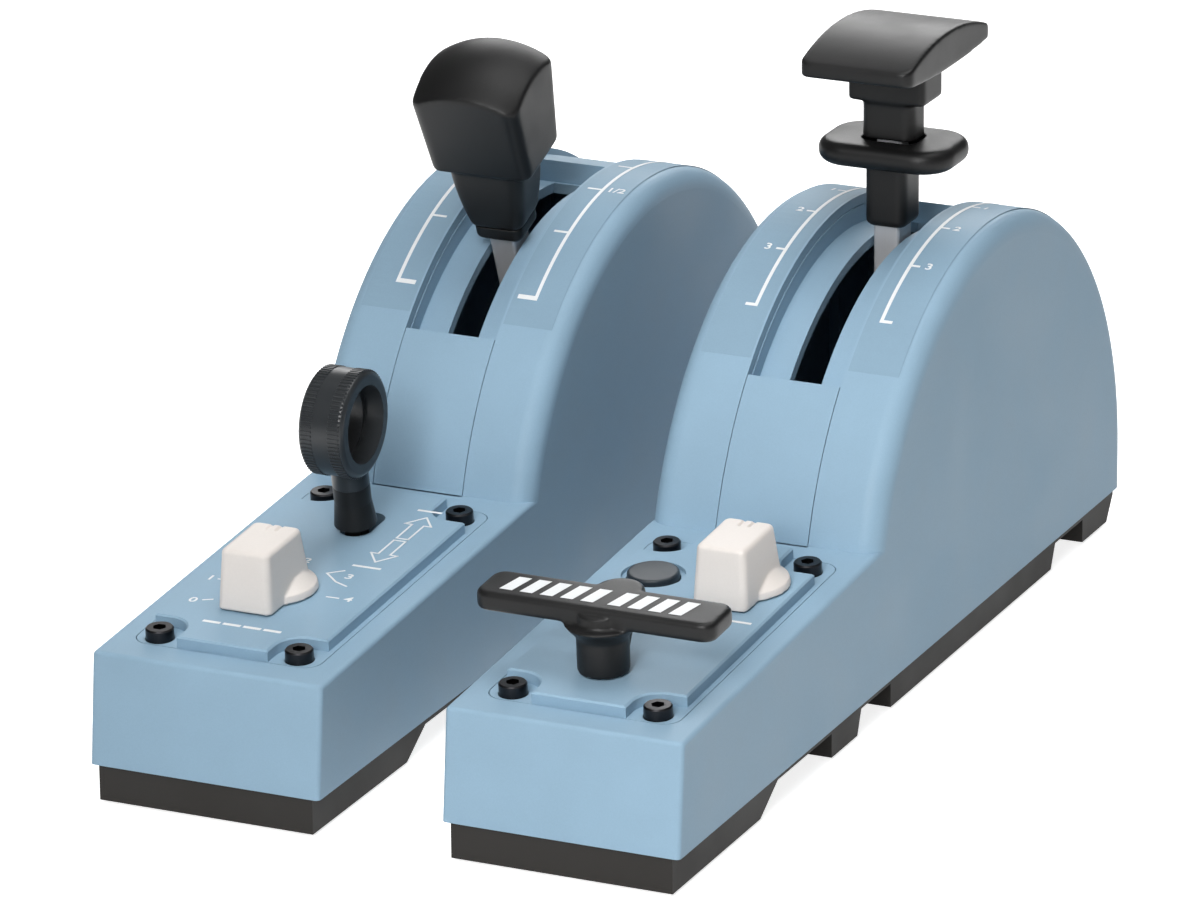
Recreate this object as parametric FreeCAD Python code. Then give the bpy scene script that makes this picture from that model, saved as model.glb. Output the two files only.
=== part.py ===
import FreeCAD, Part
import math
import os

# Throttle quadrant: two free-standing lever modules, millimetres, +Z up.
# The left module carries the speed brake lever, the gear lever and the brake selector.
# The right module carries the flap lever, the parking brake handle, the trim knob
# and a push button. Each module is drawn in its own frame (front edge at y = 0, centre
# at x = 0) and then set beside the other one.

V = FreeCAD.Vector

# overall sizes
module_width = 62.0
module_pitch = 94.6
base_height = 9.8
wall = 2.6
slip = 0.2

# front box and sloping deck
front_setback = 2.9
deck_front_z = 38.1
deck_angle = 3.74
deck_edge_round = 1.2

# dome
dome_radius = 86.3
dome_y = 202.0
dome_z = 20.95
dome_edge_round = 5.5
module_length = dome_y + dome_radius

# lever track strip in the dome
track_half_width = 12.4
track_depth = 7.2
track_floor = 2.6
tail_sink = 1.6
track_lip = 3.0
track_foot_angle = 16.6
track_low_angle = 43.9
track_tail_angle = 163.0
left_track_end = 98.0
right_track_end = 112.0
slot_half_width = 4.3

# base tray
tray_inset = 2.1
tray_half_width = module_width / 2 - tray_inset
tray_front = 0.7
tray_back_low = 281.5
tray_back_high = 286.0
tray_web = 2.9
tray_wall = 2.4
tray_floor = 2.2
tray_lip_height = 3.0
tray_lip_wall = 1.6
foot_spans = ((0.7, 52.2), (95.9, 112.1), (133.3, 241.6), (264.1, 281.5))
foot_back_slope = 10.6
pad_stand = 0.6
pad_radius = 6.0
pad_x = tray_half_width - 8.9
pad_sink = 1.0

# control plate
plate_half_width = 24.9
plate_start = 8.4
plate_length = 100.0
plate_corner = 4.5
flange_thick = 2.2
pad_thick = 2.4
block_half_width = 23.5
block_rise = 3.0
plate_skin = 2.4
notch_radius = 6.6
screw_x = 18.9
screw_front = 12.5
screw_back = 101.9

# cap screws
cap_radius = 3.5
cap_height = 4.0
cap_sink = 1.0
cap_shank = 2.0
cap_length = 11.0
hex_flats = 3.0

# lever pivot
pivot_y = 203.2
pivot_z = 23.2
shaft_radius = 4.0
frame_bolt_x = tray_half_width - 8.4
run_gap = 0.05
hub_radius = 9.0
cheek_thick = 2.5
cheek_inner = frame_bolt_x - cheek_thick - 4.0
shaft_half = cheek_inner + cheek_thick + 3.5
hub_half = cheek_inner - 1.5
frame_sheet = 2.5
frame_half_length = 25.0
bush_wall = 1.6
stem_half_width = 3.5
stem_half_depth = 4.4
tang_half_depth = 2.6
sleeve_low = dome_radius - 5.9
tang_start = sleeve_low + 15.6

# lever positions, degrees up from the front horizontal
brake_rest = 69.0
flap_rest = 90.0
flap_step = 11.4
flap_marks = tuple(flap_rest + flap_step * i for i in (-3, -2, -1, 0, 1))

# deck controls, measured along the deck from its front edge
gear_pivot_y = 88.0
gear_pivot_z = 30.0
gear_lean = 11.2
gear_ring_radius = 13.5
gear_ring_bore = 9.9
gear_ring_half = 6.2
gear_ring_height = 47.6
selector_x = -2.9
selector_s = 42.0
trim_x = 10.4
trim_s = 83.2
park_x = -1.0
park_s = 25.5
button_x = -13.5
button_s = 81.8


def box(x0, x1, y0, y1, z0, z1):
    return Part.makeBox(x1 - x0, y1 - y0, z1 - z0, V(x0, y0, z0))


def rod_z(radius, z0, z1, x=0.0, y=0.0):
    return Part.makeCylinder(radius, z1 - z0, V(x, y, z0), V(0, 0, 1))


def rod_x(radius, x0, x1, y=0.0, z=0.0):
    return Part.makeCylinder(radius, x1 - x0, V(x0, y, z), V(1, 0, 0))


def side_profile(points, x0, x1):
    """Closed outline in the y-z plane, drawn out from x0 to x1."""
    corners = [V(x0, y, z) for y, z in points]
    face = Part.Face(Part.makePolygon(corners + corners[:1]))
    return face.extrude(V(x1 - x0, 0, 0))


def rounded_bar(half_x, half_y, z0, z1, corner, x=0.0, y=0.0):
    """Upright bar with a rounded rectangle section."""
    bar = box(x - half_x, x + half_x, y - half_y, y + half_y, z0, z1)
    upright = [e for e in bar.Edges if abs(e.tangentAt(e.FirstParameter).z) > 0.99]
    return bar.makeFillet(corner, upright)


def level_edges(shape, z):
    """Edges that lie wholly at height z."""
    return [e for e in shape.Edges if abs(e.BoundBox.ZMin - z) < 1e-4 and abs(e.BoundBox.ZMax - z) < 1e-4]


def dome_point(radius, angle, x=0.0):
    """Point on a circle about the dome axis; the angle rises from the front."""
    turn = math.radians(angle)
    return V(x, dome_y - radius * math.cos(turn), dome_z + radius * math.sin(turn))


def dome_sector(r0, r1, a0, a1, x0, x1):
    corners = [dome_point(r0, a0, x0), dome_point(r0, a0, x1),
               dome_point(r1, a0, x1), dome_point(r1, a0, x0)]
    face = Part.Face(Part.makePolygon(corners + corners[:1]))
    return face.revolve(V(0, dome_y, dome_z), V(-1, 0, 0), a1 - a0)


def on_deck(shape):
    """Move a shape drawn flat (y along the deck, z above it) onto the sloping deck."""
    placed = shape.copy()
    placed.rotate(V(0, 0, 0), V(1, 0, 0), deck_angle)
    placed.translate(V(0, front_setback, deck_front_z))
    return placed


def on_lever(shape, angle):
    """Move a shape drawn upright above the pivot onto a lever that leans to an angle."""
    placed = shape.copy()
    placed.translate(V(0, pivot_y, pivot_z))
    placed.rotate(V(0, pivot_y, pivot_z), V(1, 0, 0), 90.0 - angle)
    return placed


def deck_z(y):
    return deck_front_z + (y - front_setback) * math.tan(math.radians(deck_angle))


def fuse_all(shapes):
    return shapes[0].multiFuse(shapes[1:]).removeSplitter()


junction_angle = math.degrees(math.asin((deck_z(120.3) - dome_z) / dome_radius))
junction_y = dome_y - dome_radius * math.cos(math.radians(junction_angle))
junction_z = deck_z(junction_y)
inner_half = module_width / 2 - wall
inner_radius = dome_radius - wall
track_radius = dome_radius - track_depth
tail_radius = dome_radius - tail_sink
plate_bottom = -flange_thick
block_under = block_rise - plate_skin
plate_end = plate_start + plate_length
hold_y = (front_setback + screw_front, front_setback + screw_back)
rear_hold = (22.0, 272.0)


# ---------------------------------------------------------------- housing
def front_box(inset, bottom):
    """Front box below the deck; inset leaves the wall."""
    rise = math.tan(math.radians(deck_angle))
    lean = front_setback / (deck_front_z - base_height)
    top_y = front_setback + inset
    top_z = deck_front_z + inset * rise - inset
    low_y = inset - (base_height - bottom) * lean
    back = junction_y + 13.0
    shelf_z = junction_z - inset
    outline = ((low_y, bottom), (top_y, top_z), (junction_y, shelf_z), (back, shelf_z), (back, bottom))
    return side_profile(outline, -module_width / 2 + inset, module_width / 2 - inset)


def dome_block(radius, half_width, bottom, edge_round):
    """Half disc with rounded shoulders over the lever pivot."""
    low_angle = math.degrees(math.asin((bottom - dome_z) / radius))
    low = dome_point(radius, low_angle, -half_width)
    crown = dome_point(radius, 90, -half_width)
    back = V(-half_width, dome_y + radius, dome_z)
    sole = V(-half_width, dome_y + radius, bottom)
    edges = [Part.Arc(low, crown, back).toShape(), Part.makeLine(back, sole), Part.makeLine(sole, low)]
    block = Part.Face(Part.Wire(edges)).extrude(V(2 * half_width, 0, 0))
    shoulder = [e for e in block.Edges if abs(e.BoundBox.XLength) < 1e-4 and e.BoundBox.ZMax > bottom + 1]
    return block.makeFillet(edge_round, shoulder)


def outer_body():
    lower = front_box(0.0, base_height)
    wanted = []
    for edge in lower.Edges:
        middle = edge.CenterOfMass
        along_front = edge.BoundBox.YLength < front_setback + 0.1 and middle.y < front_setback + 0.1
        along_deck = edge.BoundBox.YLength > 50 and middle.z > deck_front_z
        if (along_front and middle.z > base_height + 1) or along_deck:
            wanted.append(edge)
    lower = lower.makeFillet(deck_edge_round, wanted)
    dome = dome_block(dome_radius, module_width / 2, base_height, dome_edge_round)
    return lower.fuse(dome).removeSplitter()


def cavity():
    lower = front_box(wall, base_height - 1.0)
    dome = dome_block(inner_radius, inner_half, base_height - 1.0, dome_edge_round - wall + 0.6)
    return lower.fuse(dome)


def rounded_slab(half_x, y0, y1, z0, z1, corner):
    return rounded_bar(half_x, (y1 - y0) / 2, z0, z1, corner, 0.0, (y0 + y1) / 2)


def hold_columns(body, gap):
    """Screw columns under the deck corners and at the rear feet."""
    columns = []
    for x in (-screw_x, screw_x):
        for y in hold_y:
            columns.append(rod_z(4.2, base_height + gap, junction_z + 6, x, y))
    for x in (-rear_hold[0], rear_hold[0]):
        columns.append(rod_z(4.2, base_height + gap, base_height + 22, x, rear_hold[1]))
        side = math.copysign(inner_half + 1.0, x)
        columns.append(box(min(x, side), max(x, side), rear_hold[1] - 1, rear_hold[1] + 1,
                           base_height + tray_lip_height + 0.4, base_height + 22))
    return [c.common(body) for c in columns]


def side_ribs(body):
    """Stiffening ribs down the inside of both dome walls."""
    ribs = []
    for y in (150.0, 176.0, 230.0, 256.0):
        for side in (-1, 1):
            low, high = sorted((side * (inner_half - 2.6), side * (inner_half + 1.0)))
            rib = box(low, high, y - 0.9, y + 0.9, base_height + tray_lip_height + 0.4, 120)
            ribs.append(rib.common(body))
    return ribs


def housing(socket_window):
    body = outer_body()
    shell = body.cut(cavity())
    pad = on_deck(box(-plate_half_width - 2, plate_half_width + 2, plate_start - 2, plate_end + 2,
                      plate_bottom - pad_thick, -0.2)).common(body)
    shell = fuse_all([shell, pad] + hold_columns(body, 0.0) + side_ribs(body))
    pocket = on_deck(rounded_slab(plate_half_width + slip, plate_start - slip, plate_end + slip,
                                  plate_bottom, 5.0, plate_corner))
    window = on_deck(box(-block_half_width + 2.5, block_half_width - 2.5, screw_front + 8,
                         screw_back - 8, -20, 5.0))
    band = dome_sector(dome_radius - 8.0, dome_radius + 2.0, track_foot_angle - 0.2, track_tail_angle + 0.2,
                       -track_half_width - slip, track_half_width + slip)
    shell = shell.cut(pocket).cut(window).cut(band)
    for x in (-screw_x, screw_x):
        for y in hold_y:
            shell = shell.cut(rod_z(1.7, base_height - 1, base_height + 12, x, y))
        for s in (screw_front, screw_back):
            shell = shell.cut(on_deck(rod_z(cap_shank, -12.0, 0.0, x, s)))
    for x in (-rear_hold[0], rear_hold[0]):
        shell = shell.cut(rod_z(1.7, base_height - 1, base_height + 12, x, rear_hold[1]))
    return shell.cut(socket_window)


# ---------------------------------------------------------------- lever track
def track_strip(end_angle):
    """Centre strip of the dome: flush foot, sunk U-shaped track with the lever slot, shallow tail."""
    half = track_half_width
    lip_half = half + track_lip
    lip_top = inner_radius - slip
    floor_low = track_radius - track_floor
    turn = math.degrees(2.4 / track_radius)
    parts = [
        dome_sector(inner_radius - 0.4, dome_radius, track_foot_angle, track_low_angle, -half, half),
        dome_sector(lip_top - 2.0, lip_top, track_foot_angle + 1.5, track_low_angle, -lip_half, lip_half),
        dome_sector(floor_low, dome_radius, track_low_angle - turn, track_low_angle, -half, half),
        dome_sector(floor_low, lip_top, track_low_angle - turn, track_low_angle, -lip_half, lip_half),
        dome_sector(floor_low, track_radius, track_low_angle, end_angle, -lip_half, lip_half),
        dome_sector(track_radius, lip_top, track_low_angle, end_angle, -lip_half, -half),
        dome_sector(track_radius, lip_top, track_low_angle, end_angle, half, lip_half),
        dome_sector(floor_low, tail_radius, end_angle, end_angle + turn, -half, half),
        dome_sector(floor_low, lip_top, end_angle, end_angle + turn, -lip_half, lip_half),
        dome_sector(inner_radius - 0.4, tail_radius, end_angle, track_tail_angle, -half, half),
        dome_sector(lip_top - 2.0, lip_top, end_angle, track_tail_angle - 1.5, -lip_half, lip_half),
    ]
    strip = fuse_all(parts)
    return strip.cut(dome_sector(floor_low - 1, track_radius + 1, track_low_angle, end_angle - 1.0,
                                 -slot_half_width, slot_half_width))


# ---------------------------------------------------------------- base tray
def tray_foot(y0, y1, slope):
    top = base_height - tray_web
    outline = [(y0, pad_stand), (y1, pad_stand), (y1 + slope, top)]
    outline += [(y1 + slope, base_height - 1), (y0, base_height - 1)]
    return side_profile(outline, -tray_half_width, tray_half_width)


def base_tray():
    spans = foot_spans
    back_lean = tray_back_high - tray_back_low
    slopes = (foot_back_slope, 2.5, 3.0, back_lean)
    web = side_profile([(tray_front, base_height - tray_web), (tray_back_high - 1.0, base_height - tray_web),
                        (tray_back_high, base_height), (tray_front, base_height)],
                       -tray_half_width, tray_half_width)
    lip_outer = inner_half - slip
    lip = rounded_slab(lip_outer, wall + 1.2, tray_back_high - 1.4, base_height - 0.5,
                       base_height + tray_lip_height, 2.4)
    lip = lip.cut(box(-lip_outer + tray_lip_wall, lip_outer - tray_lip_wall, wall + 1.2 + tray_lip_wall,
                      tray_back_high - 1.4 - tray_lip_wall, 0, 40))
    parts = [web, lip] + [tray_foot(a, b, s) for (a, b), s in zip(spans, slopes)]
    tray = fuse_all(parts)
    for (a, b) in spans:
        low = max(a, tray_front) + tray_wall
        pocket = box(-tray_half_width + tray_wall, tray_half_width - tray_wall, low, b - tray_wall,
                     pad_stand + tray_floor, base_height + 1)
        tray = tray.cut(pocket)
    return fuse_all([tray] + tray_bosses()).cut(tray_holes())


def frame_bolt_points():
    return [(x, pivot_y + dy) for x in (-frame_bolt_x, frame_bolt_x) for dy in (-20.0, 20.0)]


def board_points():
    return [(x, y) for x in (-board_screw_x, board_screw_x) for y in (34.0, 88.0)]


def base_screw_points():
    points = [(x, y) for x in (-screw_x, screw_x) for y in hold_y]
    return points + [(x, rear_hold[1]) for x in (-rear_hold[0], rear_hold[0])]


link_x = 10.0
link_y = (76.0, 254.0)
insert_radius = 2.8
insert_bore = 1.65
insert_length = 6.0
board_height = 16.0
board_thick = 1.6
board_half = module_width / 2 - wall - 5.4
board_screw_x = board_half - 3.5


def link_points():
    return [(x, y) for x in (-link_x, link_x) for y in link_y]


def tray_bosses():
    bosses = [rod_z(3.6, pad_stand + 1.0, base_height, x, y) for x, y in frame_bolt_points()]
    bosses += [rod_z(2.8, pad_stand + 1.0 if y < foot_spans[0][1] else base_height - 1.0, board_height, x, y)
               for x, y in board_points()]
    bosses += [rod_z(4.4, pad_stand + 1.0, base_height, x, y) for x, y in base_screw_points()]
    link_top = base_height + insert_length - 2.0
    bosses += [rod_z(4.6, base_height - 1.5, link_top, x, y) for x, y in link_points()]
    return bosses


def tray_holes():
    holes = [rod_z(1.25, pad_stand + 2.5, base_height + 1, x, y) for x, y in frame_bolt_points()]
    holes += [rod_z(1.0, board_height - 5.0, board_height + 1, x, y) for x, y in board_points()]
    holes += [rod_z(1.7, -1, base_height + 1, x, y) for x, y in base_screw_points()]
    holes += [rod_z(3.3, -1, pad_stand + 3.0, x, y) for x, y in base_screw_points()]
    holes += [rod_z(insert_radius, -1, base_height + insert_length, x, y) for x, y in link_points()]
    holes += [rod_z(pad_radius + 0.1, -1, pad_stand + pad_sink, x, y) for x, y in pad_points()]
    return fuse_all(holes)


def pad_points():
    points = [(x, y) for x in (-pad_x, pad_x) for y in (37.0, 150.0, 226.0)]
    return points


def foot_pads():
    pads = [rod_z(pad_radius, 0.0, pad_stand + pad_sink, x, y) for x, y in pad_points()]
    return Part.makeCompound([p.makeChamfer(0.3, level_edges(p, 0.0)) for p in pads])


def base_screws():
    screws = []
    for x, y in base_screw_points():
        head = rod_z(3.0, pad_stand + 0.8, pad_stand + 3.0, x, y)
        shank = rod_z(1.5, pad_stand + 2.5, base_height + 11, x, y)
        cross = rod_z(1.2, 0, pad_stand + 2.0, x, y)
        screws.append(head.fuse(shank).cut(cross).removeSplitter())
    return Part.makeCompound(screws)


def link_inserts():
    inserts = []
    low = base_height - tray_web
    for x, y in link_points():
        ring = rod_z(insert_radius, low, low + insert_length, x, y)
        inserts.append(ring.cut(rod_z(insert_bore, low - 1, low + insert_length + 1, x, y)))
    return Part.makeCompound(inserts)


def ballast():
    y0 = foot_spans[2][0] + tray_wall + 1.0
    y1 = foot_spans[2][1] - tray_wall - 1.0
    half = tray_half_width - tray_wall - 0.8
    plate = box(-half, half, y0, y1, pad_stand + tray_floor, pad_stand + tray_floor + 4.5)
    for x, y in frame_bolt_points():
        plate = plate.cut(rod_z(4.1, 0, 20, x, y))
    return plate


# ---------------------------------------------------------------- control plate
def corner_notches():
    """Recesses round the four cap screws, open to the plate's corners."""
    cuts = []
    far = 60.0
    for sx in (-1, 1):
        for s, sy in ((screw_front, -1), (screw_back, 1)):
            cx = sx * screw_x
            cuts.append(rod_z(notch_radius, 0.0, 20.0, cx, s))
            near = sx * (screw_x - notch_radius)
            xs = sorted((near, sx * far))
            ys = sorted((s, s + sy * far))
            cuts.append(box(xs[0], xs[1], ys[0], ys[1], 0, 20))
            inner = s - sy * notch_radius
            xs = sorted((cx, sx * far))
            ys = sorted((inner, s + sy * far))
            cuts.append(box(xs[0], xs[1], ys[0], ys[1], 0, 20))
    return fuse_all(cuts)


def blank_plate():
    flange = rounded_slab(plate_half_width, plate_start, plate_end, plate_bottom, 0.0, plate_corner)
    block = box(-block_half_width, block_half_width, plate_start + 0.2, plate_end - 0.2, -0.5, block_rise)
    outline = rounded_slab(plate_half_width, plate_start, plate_end, -1.0, block_rise + 1, plate_corner)
    block = block.common(outline).cut(corner_notches())
    rim = level_edges(block, block_rise)
    block = block.makeChamfer(0.45, rim)
    plate = flange.fuse(block).removeSplitter()
    hollow = box(-block_half_width + 3.0, block_half_width - 3.0, screw_front + notch_radius + 2.4,
                 screw_back - notch_radius - 2.4, -10, block_under)
    plate = plate.cut(hollow)
    for x in (-screw_x, screw_x):
        for s in (screw_front, screw_back):
            plate = plate.cut(rod_z(cap_shank + slip, -10, 1, x, s))
            plate = plate.cut(rod_z(cap_radius + slip, -cap_sink, 1, x, s))
    return plate


gear_slot_half = 4.0
gear_s = (gear_pivot_y - front_setback) / math.cos(math.radians(deck_angle)) + 0.3
gear_slot_reach = 7.8
knob_bore = 3.0
button_radius = 6.5
button_well = 8.0


def left_plate():
    plate = blank_plate()
    slot = rounded_bar(gear_slot_half, gear_slot_reach, -10, 10, gear_slot_half - 0.05, 0.0, gear_s)
    hole = rod_z(knob_bore + 0.6, -10, 10, selector_x, selector_s)
    return on_deck(plate.cut(slot).cut(hole))


def right_plate():
    plate = blank_plate()
    plate = plate.cut(rod_z(park_shaft + 0.5, -10, 10, park_x, park_s))
    plate = plate.cut(rod_z(knob_bore + 0.6, -10, 10, trim_x, trim_s))
    plate = plate.cut(rod_z(button_radius + 0.3, block_under - 0.1, 10, button_x, button_s))
    return on_deck(plate.cut(rod_z(button_well, block_rise - 1.0, 10, button_x, button_s)))


def hexagon(flats, z0, z1, x, y):
    reach = flats / math.sqrt(3.0)
    corners = [V(x + reach * math.cos(math.radians(60 * i)), y + reach * math.sin(math.radians(60 * i)), z0)
               for i in range(6)]
    return Part.Face(Part.makePolygon(corners + corners[:1])).extrude(V(0, 0, z1 - z0))


def plate_screws():
    screws = []
    for x in (-screw_x, screw_x):
        for s in (screw_front, screw_back):
            top = cap_height - cap_sink
            head = rod_z(cap_radius, -cap_sink, top, x, s)
            head = head.makeChamfer(0.35, level_edges(head, top))
            shank = rod_z(cap_shank - slip, -cap_length, -cap_sink + 0.1, x, s)
            screw = head.fuse(shank).cut(hexagon(hex_flats, top - 2.0, top + 1, x, s)).removeSplitter()
            screws.append(on_deck(screw))
    return Part.makeCompound(screws)


# ---------------------------------------------------------------- lever pivot
def pivot_frame():
    """Folded steel bracket: a foot plate and two cheeks that carry the bushes."""
    low = base_height
    y0 = pivot_y - frame_half_length
    y1 = pivot_y + frame_half_length
    foot_half = frame_bolt_x + 3.5
    foot = box(-foot_half, foot_half, y0, y1, low, low + frame_sheet)
    parts = [foot]
    for side in (-1, 1):
        x0, x1 = sorted((side * cheek_inner, side * (cheek_inner + cheek_thick)))
        corners = [(y0 + 4, low), (y1 - 4, low), (pivot_y + 9, pivot_z + 10), (pivot_y - 9, pivot_z + 10)]
        cheek = side_profile(corners, x0, x1)
        cap = rod_x(13.4, x0, x1, pivot_y, pivot_z)
        parts.append(cheek.fuse(cap.common(box(-40, 40, y0, y1, low, 80))))
    frame = fuse_all(parts)
    frame = frame.cut(rod_x(shaft_radius + bush_wall, -30, 30, pivot_y, pivot_z))
    for x, y in frame_bolt_points():
        frame = frame.cut(rod_z(1.7, 0, 30, x, y))
    return frame


def frame_screws():
    screws = []
    top = base_height + frame_sheet
    for x, y in frame_bolt_points():
        head = rod_z(2.8, top, top + 2.0, x, y)
        shank = rod_z(1.2, pad_stand + 3.0, top, x, y)
        screws.append(head.fuse(shank).cut(rod_z(1.0, top + 0.9, top + 3, x, y)).removeSplitter())
    return Part.makeCompound(screws)


def shaft_bushes():
    bushes = []
    for side in (-1, 1):
        x0, x1 = sorted((side * cheek_inner, side * (cheek_inner + cheek_thick)))
        f0, f1 = sorted((side * (cheek_inner - 1.2), side * cheek_inner))
        bush = rod_x(shaft_radius + bush_wall, x0, x1, pivot_y, pivot_z)
        flange = rod_x(shaft_radius + bush_wall + 1.4, f0, f1, pivot_y, pivot_z)
        bore = rod_x(shaft_radius + run_gap, -30, 30, pivot_y, pivot_z)
        bushes.append(bush.fuse(flange).cut(bore).removeSplitter())
    return Part.makeCompound(bushes)


def pivot_shaft():
    shaft = rod_x(shaft_radius, -shaft_half, shaft_half, pivot_y, pivot_z)
    for side in (-1, 1):
        x0, x1 = sorted((side * (cheek_inner + cheek_thick + 0.6), side * (cheek_inner + cheek_thick + 1.5)))
        groove = rod_x(shaft_radius + 1, x0, x1, pivot_y, pivot_z)
        shaft = shaft.cut(groove.cut(rod_x(shaft_radius - 0.6, x0, x1, pivot_y, pivot_z)))
    return shaft


def retaining_rings():
    rings = []
    for side in (-1, 1):
        outer = cheek_inner + cheek_thick
        x0, x1 = sorted((side * (outer + 0.65), side * (outer + 1.45)))
        ring = rod_x(shaft_radius + 1.8, x0, x1, pivot_y, pivot_z)
        ring = ring.cut(rod_x(shaft_radius - 0.6, x0, x1, pivot_y, pivot_z))
        rings.append(ring.cut(box(x0, x1, pivot_y - 1.4, pivot_y + 1.4, pivot_z - 9, pivot_z)))
    return Part.makeCompound(rings)


def lever_arm(length, angle):
    """Die-cast hub with a flat polished stem."""
    hub = rod_x(hub_radius, -hub_half, hub_half)
    stem = rounded_bar(stem_half_width, stem_half_depth, 4.0, tang_start, 0.8)
    tang = rounded_bar(stem_half_width, tang_half_depth, 4.0, length, 0.8)
    web = side_profile([(-8.0, 4.0), (8.0, 4.0), (stem_half_depth, 24.0), (-stem_half_depth, 24.0)],
                       -stem_half_width, stem_half_width)
    arm = fuse_all([hub, web, stem, tang]).cut(rod_x(shaft_radius, -30, 30))
    return on_lever(arm, angle)


def friction_pad():
    top = pivot_z - hub_radius - 0.3
    return box(-7.0, 7.0, pivot_y - 6.0, pivot_y + 6.0, base_height + frame_sheet, top)


magnet_length = 2.5


def shaft_magnet():
    return rod_x(3.0, -shaft_half - magnet_length, -shaft_half, pivot_y, pivot_z)


def sensor_board():
    """Small board with the angle sensor facing the shaft magnet."""
    face = -shaft_half - magnet_length - 1.5
    board = box(face - 1.6, face, pivot_y - 11, pivot_y + 11, pivot_z - 8, pivot_z + 12)
    chip = box(face, face + 1.0, pivot_y - 2.5, pivot_y + 2.5, pivot_z - 2.5, pivot_z + 2.5)
    return board.fuse(chip).removeSplitter()


def sensor_posts():
    face = -shaft_half - magnet_length - 1.5
    posts = [rod_x(2.0, face, -cheek_inner - cheek_thick, pivot_y + dy, pivot_z + 9.0) for dy in (-7.5, 7.5)]
    return Part.makeCompound(posts)


# ---------------------------------------------------------------- speed brake lever
collar_top = sleeve_low + 4.8
brake_neck = collar_top + 12.3


def speed_brake_collar():
    """Short sleeve fixed on the stem, just above the track floor."""
    collar = rounded_bar(6.6, 6.2, sleeve_low, collar_top, 2.4)
    collar = collar.makeChamfer(1.6, level_edges(collar, sleeve_low))
    return on_lever(collar.cut(stem_bore(collar_top + slip)), brake_rest)


def stem_bore(z1):
    """Clearance for the stem and, above its shoulder, for the narrower tang."""
    wide = stem_half_width + run_gap
    deep = stem_half_depth + run_gap
    low = rounded_bar(wide, deep, sleeve_low - 1.0, min(z1, tang_start + 0.3), 0.8)
    if z1 < tang_start:
        return low
    return low.fuse(rounded_bar(stem_half_width + run_gap, tang_half_depth + run_gap, tang_start, z1, 0.8))


def loft_sections(sections):
    """Solid through rounded rectangle sections (half_x, half_y, centre_y, height, corner)."""
    wires = []
    for half_x, half_y, centre_y, height, corner in sections:
        slab = rounded_bar(half_x, half_y, height, height + 1.0, corner, 0.0, centre_y)
        base = [f for f in slab.Faces if abs(f.CenterOfMass.z - height) < 1e-6][0]
        wires.append(base.OuterWire)
    return Part.makeLoft(wires, True, False)


brake_knob_low = brake_neck + 6.0
brake_knob_high = brake_knob_low + 29.8
brake_stem_top = brake_knob_low + 6.5
brake_crown = 28.0
brake_crown_y = 2.5


def speed_brake_knob():
    """Chunky grip: tapered neck, flaring body and a crowned top."""
    neck = loft_sections([(7.3, 6.6, 0.0, collar_top + slip, 2.6), (9.8, 7.8, 0.6, brake_neck, 3.0),
                          (10.4, 8.2, 1.2, brake_knob_low + 1.0, 3.2)])
    body = loft_sections([(13.9, 10.2, 1.8, brake_knob_low, 2.6), (15.2, 14.2, 2.6, brake_knob_high, 3.4)])
    body = body.common(Part.makeSphere(brake_crown, V(0, brake_crown_y, brake_knob_high - brake_crown)))
    grip = fuse_all([neck, body]).cut(stem_bore(brake_stem_top + 2.0))
    return on_lever(grip, brake_rest)


# ---------------------------------------------------------------- flap lever
flap_lift = 4.0
flap_ring_top = sleeve_low + 22.6
flap_ring_thick = 6.2
flap_block_low = flap_ring_top + 10.0
flap_stem_top = flap_block_low - 1.0
palm_low = flap_block_low + 9.4
palm_half_width = 15.2


def flap_handle():
    """Broad curved palm grip on a block and an upper stem."""
    stem = rounded_bar(7.2, 5.2, flap_ring_top + 0.3, flap_block_low + 1, 3.0, 0.0, 0.6)
    block = rounded_bar(10.5, 6.8, flap_block_low, palm_low + 1.5, 1.6, 0.0, 1.6)
    half = palm_half_width
    front, back = -25.5, 29.0
    lower = (V(-half, front, palm_low + 1.6), V(-half, 0.0, palm_low), V(-half, back, palm_low + 1.0))
    upper = (V(-half, front, palm_low + 5.4), V(-half, 1.0, palm_low + 9.8), V(-half, back, palm_low + 4.2))
    outline = [Part.Arc(*lower).toShape(), Part.makeLine(lower[2], upper[2]),
               Part.Arc(*reversed(upper)).toShape(), Part.makeLine(upper[0], lower[0])]
    palm = Part.Face(Part.Wire(outline)).extrude(V(2 * half, 0, 0))
    corners = [e for e in palm.Edges if e.BoundBox.YLength < 1e-4 and e.BoundBox.XLength < 1e-4]
    palm = palm.makeFillet(3.0, corners)
    handle = fuse_all([palm, block, stem]).cut(stem_bore(flap_stem_top + slip))
    return on_lever(handle, flap_rest)


def flap_collar():
    """Lift ring with its sleeve, sliding up the stem against a spring."""
    ring_low = flap_ring_top - flap_ring_thick
    sleeve = rounded_bar(5.6, 6.0, sleeve_low, flap_ring_top - 5.0, 2.4)
    sleeve = sleeve.makeChamfer(1.0, level_edges(sleeve, sleeve_low))
    ring = rounded_bar(18.4, 12.6, ring_low, flap_ring_top, 9.0, 0.0, 0.6)
    ring = ring.makeFillet(2.8, level_edges(ring, ring_low) + level_edges(ring, flap_ring_top))
    well = rounded_bar(7.5, 5.5, flap_ring_top - flap_lift - 0.3, flap_ring_top + 1, 3.2, 0.0, 0.6)
    wide = stem_half_width + run_gap
    deep = stem_half_depth + run_gap
    bore = rounded_bar(wide, deep, sleeve_low - 1, flap_ring_top, 0.8)
    collar = fuse_all([ring, sleeve]).cut(well).cut(bore)
    return on_lever(collar, flap_rest)


detent_radius = 52.0
detent_plate_x = (cheek_inner - 3.0, cheek_inner)
roller_radius = 2.4


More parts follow.
